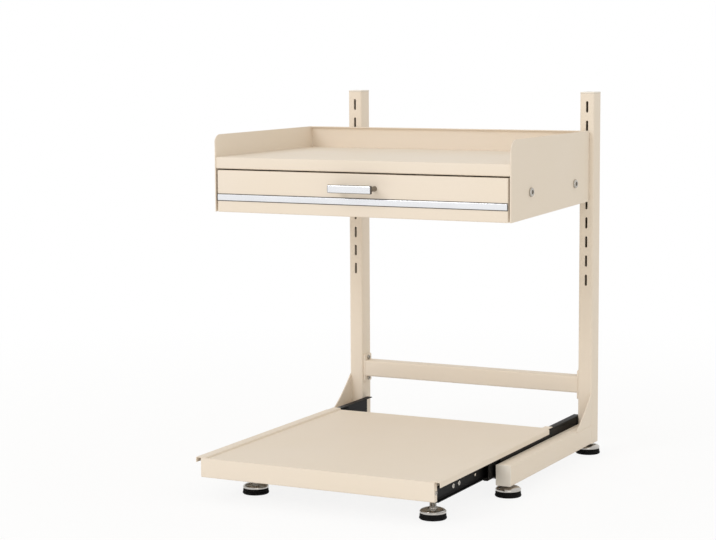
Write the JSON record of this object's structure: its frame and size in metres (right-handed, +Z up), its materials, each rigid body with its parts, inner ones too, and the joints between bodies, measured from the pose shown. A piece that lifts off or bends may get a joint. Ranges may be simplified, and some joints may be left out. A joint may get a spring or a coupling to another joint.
{
  "type": "microwave stand with drawer",
  "caption": "Steel kitchen stand on slotted uprights: a railed shelf over a full-width drawer, and a low pull-out tray on ball-bearing slides and levelling feet.",
  "frame": {"origin": "on the floor, under the middle of the whole stand as stored, with the drawer shut and the tray pulled part of the way out", "axes": "+Z up, -Y out of the front, where the drawer and the tray open, and +X to the right of someone facing the front"},
  "size_m": [0.5396, 0.5986, 0.6085],
  "materials": {
    "cream_paint": "satin powder coat",
    "cream_plastic": "satin moulded plastic",
    "chrome_trim": "polished",
    "bright_screws": "polished",
    "slide_black": "black zinc and oil",
    "ball_steel": "polished balls in a steel strip",
    "foot_rubber": "matt",
    "foot_chrome": "polished",
    "insert_steel": "zinc plated"
  },
  "bodies": {
    "stand": {"upright_left": "cream_paint", "upright_cap_left": "cream_plastic", "base_rail_left": "cream_paint", "rail_cap_left": "cream_plastic", "gusset_left": "cream_paint", "side_panel_left": "cream_paint", "panel_screws_left": "bright_screws", "hook_bracket_left": "cream_paint", "tray_slide_outer_left": "slide_black", "drawer_slide_outer_left": "slide_black", "upright_right": "cream_paint", "upright_cap_right": "cream_plastic", "base_rail_right": "cream_paint", "rail_cap_right": "cream_plastic", "gusset_right": "cream_paint", "side_panel_right": "cream_paint", "panel_screws_right": "bright_screws", "hook_bracket_right": "cream_paint", "tray_slide_outer_right": "slide_black", "drawer_slide_outer_right": "slide_black", "cross_bar": "cream_paint", "cross_bar_bolts": "bright_screws", "shelf_top": "cream_paint", "back_panel": "cream_paint", "base_foot_inserts": "insert_steel"},
    "tray": {"tray_deck": "cream_paint", "tray_front": "cream_paint", "tray_channel_left": "cream_paint", "tray_channel_right": "cream_paint", "tray_slide_inner_left": "slide_black", "tray_slide_inner_right": "slide_black", "tray_foot_inserts": "insert_steel"},
    "drawer": {"drawer_box": "cream_paint", "drawer_front": "cream_paint", "trim_strip": "chrome_trim", "handle_bar": "chrome_trim", "handle_posts": "chrome_trim", "drawer_slide_inner_left": "slide_black", "drawer_slide_inner_right": "slide_black"},
    "tray_mid_left": {"tray_slide_mid_left": "slide_black", "tray_slide_balls_left": "ball_steel"},
    "drawer_mid_left": {"drawer_slide_mid_left": "slide_black", "drawer_slide_balls_left": "ball_steel"},
    "tray_mid_right": {"tray_slide_mid_right": "slide_black", "tray_slide_balls_right": "ball_steel"},
    "drawer_mid_right": {"drawer_slide_mid_right": "slide_black", "drawer_slide_balls_right": "ball_steel"},
    "foot_front_left": {"foot_pad_front_left": "foot_rubber", "foot_stem_front_left": "foot_chrome"},
    "foot_back_left": {"foot_pad_back_left": "foot_rubber", "foot_stem_back_left": "foot_chrome"},
    "foot_tray_left": {"foot_pad_tray_left": "foot_rubber", "foot_stem_tray_left": "foot_chrome"},
    "foot_front_right": {"foot_pad_front_right": "foot_rubber", "foot_stem_front_right": "foot_chrome"},
    "foot_back_right": {"foot_pad_back_right": "foot_rubber", "foot_stem_back_right": "foot_chrome"},
    "foot_tray_right": {"foot_pad_tray_right": "foot_rubber", "foot_stem_tray_right": "foot_chrome"}
  },
  "joints": [
    {"name": "tray_slide", "type": "slide", "parent": "stand", "child": "tray", "axis": [0, -1, 0], "range_m": [-0.128, 0.1]},
    {"name": "drawer_slide", "type": "slide", "parent": "stand", "child": "drawer", "axis": [0, -1, 0], "range_m": [0, 0.22]},
    {"name": "tray_mid_slide_left", "type": "slide", "parent": "stand", "child": "tray_mid_left", "axis": [0, -1, 0], "range_m": [-0.064, 0.05]},
    {"name": "drawer_mid_slide_left", "type": "slide", "parent": "stand", "child": "drawer_mid_left", "axis": [0, -1, 0], "range_m": [0, 0.11]},
    {"name": "tray_mid_slide_right", "type": "slide", "parent": "stand", "child": "tray_mid_right", "axis": [0, -1, 0], "range_m": [-0.064, 0.05]},
    {"name": "drawer_mid_slide_right", "type": "slide", "parent": "stand", "child": "drawer_mid_right", "axis": [0, -1, 0], "range_m": [0, 0.11]},
    {"name": "foot_front_left_turn", "type": "hinge", "parent": "stand", "child": "foot_front_left", "pos_m": [-0.1807, -0.07125, 0], "axis": [0, 0, 1], "continuous": true},
    {"name": "foot_back_left_turn", "type": "hinge", "parent": "stand", "child": "foot_back_left", "pos_m": [-0.1807, 0.27875, 0], "axis": [0, 0, 1], "continuous": true},
    {"name": "foot_tray_left_turn", "type": "hinge", "parent": "tray", "child": "foot_tray_left", "pos_m": [-0.1082, -0.22425, 0], "axis": [0, 0, 1], "continuous": true},
    {"name": "foot_front_right_turn", "type": "hinge", "parent": "stand", "child": "foot_front_right", "pos_m": [0.2493, -0.07125, 0], "axis": [0, 0, 1], "continuous": true},
    {"name": "foot_back_right_turn", "type": "hinge", "parent": "stand", "child": "foot_back_right", "pos_m": [0.2493, 0.27875, 0], "axis": [0, 0, 1], "continuous": true},
    {"name": "foot_tray_right_turn", "type": "hinge", "parent": "tray", "child": "foot_tray_right", "pos_m": [0.2068, -0.25425, 0], "axis": [0, 0, 1], "continuous": true}
  ],
  "couplings": [
    {"joint": "tray_mid_slide_left", "follows": "tray_slide", "ratio": 0.5},
    {"joint": "drawer_mid_slide_left", "follows": "drawer_slide", "ratio": 0.5},
    {"joint": "tray_mid_slide_right", "follows": "tray_slide", "ratio": 0.5},
    {"joint": "drawer_mid_slide_right", "follows": "drawer_slide", "ratio": 0.5}
  ]
}
